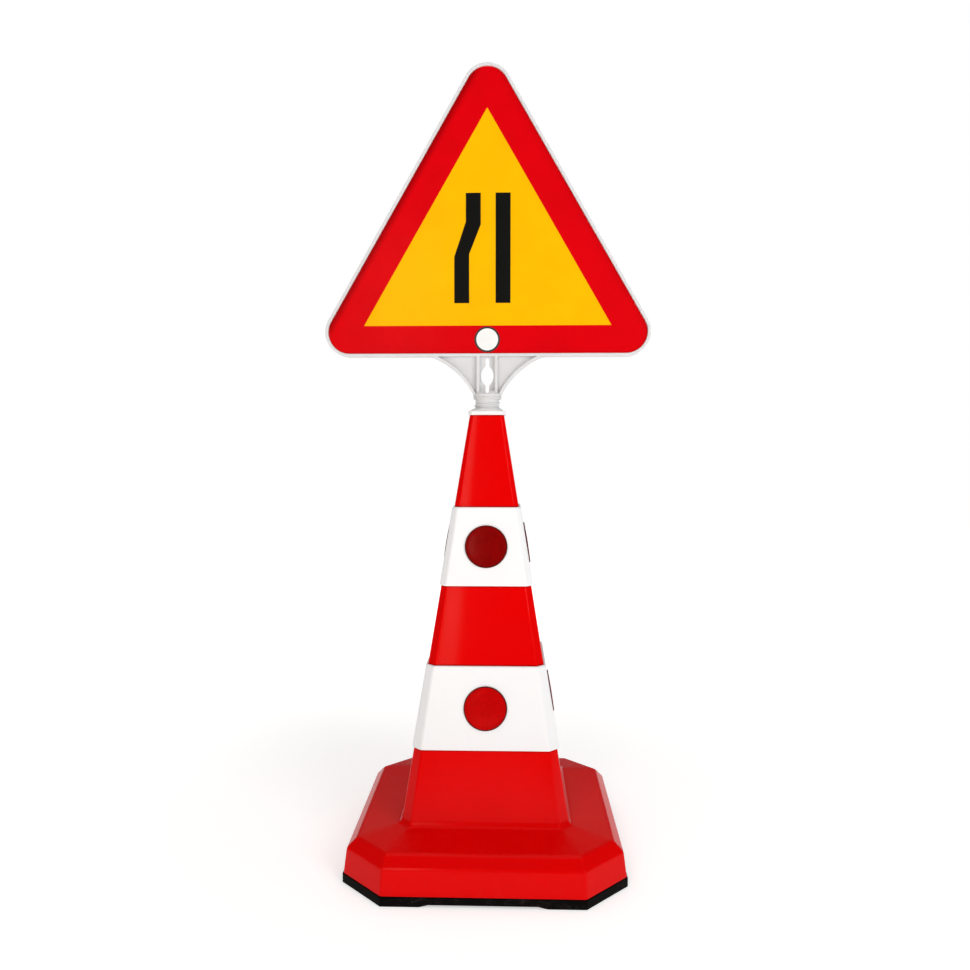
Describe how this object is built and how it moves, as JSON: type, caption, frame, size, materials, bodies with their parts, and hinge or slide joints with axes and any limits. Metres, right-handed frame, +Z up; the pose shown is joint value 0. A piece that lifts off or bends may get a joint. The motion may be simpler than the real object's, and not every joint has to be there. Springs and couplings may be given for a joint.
{
  "type": "traffic cone with warning sign",
  "caption": "Square tapered road cone on a ballasted rubber base, with reflective sleeves, round reflectors and a screw-in triangular sign showing a narrowing road.",
  "frame": {"origin": "middle of the footprint, on the ground", "axes": "+Z up along the cone's axis, +X to the right and -Y towards the viewer of the sign's face"},
  "size_m": [0.5596, 0.453, 1.3453],
  "materials": {
    "black_rubber": "matt moulded recycled rubber, dusty at the corners",
    "zinc_steel": "zinc plated",
    "red_moulding": "glossy moulded plastic",
    "white_sleeve": "smooth white plastic with a reflective layer",
    "white_cap": "smooth moulded plastic",
    "reflector_cup": "dark red moulded plastic",
    "lower_lens": "prismatic red lens",
    "upper_lens": "prismatic red lens",
    "washer": "soft white plastic",
    "white_panel": "smooth moulded plastic",
    "yellow_sheeting": "retroreflective sheeting",
    "red_film": "printed translucent film on reflective sheeting",
    "black_film": "printed black film",
    "white_label": "plain printed sticker"
  },
  "bodies": {
    "cone": {"rubber_base": "black_rubber", "base_screws": "zinc_steel", "cone_shell": "red_moulding", "lower_sleeve": "white_sleeve", "upper_sleeve": "white_sleeve", "screw_socket": "white_cap", "lower_front_cup": "reflector_cup", "lower_right_cup": "reflector_cup", "lower_back_cup": "reflector_cup", "lower_left_cup": "reflector_cup", "upper_front_cup": "reflector_cup", "upper_right_cup": "reflector_cup", "upper_back_cup": "reflector_cup", "upper_left_cup": "reflector_cup", "lower_front_lens": "lower_lens", "lower_right_lens": "lower_lens", "lower_back_lens": "lower_lens", "lower_left_lens": "lower_lens", "upper_front_lens": "upper_lens", "upper_right_lens": "upper_lens", "upper_back_lens": "upper_lens", "upper_left_lens": "upper_lens"},
    "washer": {"sealing_washer": "washer"},
    "sign": {"sign_panel": "white_panel", "yellow_sheet": "yellow_sheeting", "red_border": "red_film", "straight_bar": "black_film", "bent_bar": "black_film", "round_label": "white_label"}
  },
  "joints": [
    {"name": "sign_lift", "type": "slide", "parent": "cone", "child": "washer", "axis": [0, 0, 1], "range_m": [-0.0159, 0.0405]},
    {"name": "sign_turn", "type": "hinge", "parent": "washer", "child": "sign", "pos_m": [0, 0, 0.78], "axis": [0, 0, 1], "range_deg": [-600, 1530]}
  ],
  "couplings": [
    {"joint": "sign_lift", "follows": "sign_turn", "m_per_rad": 0.001512}
  ]
}
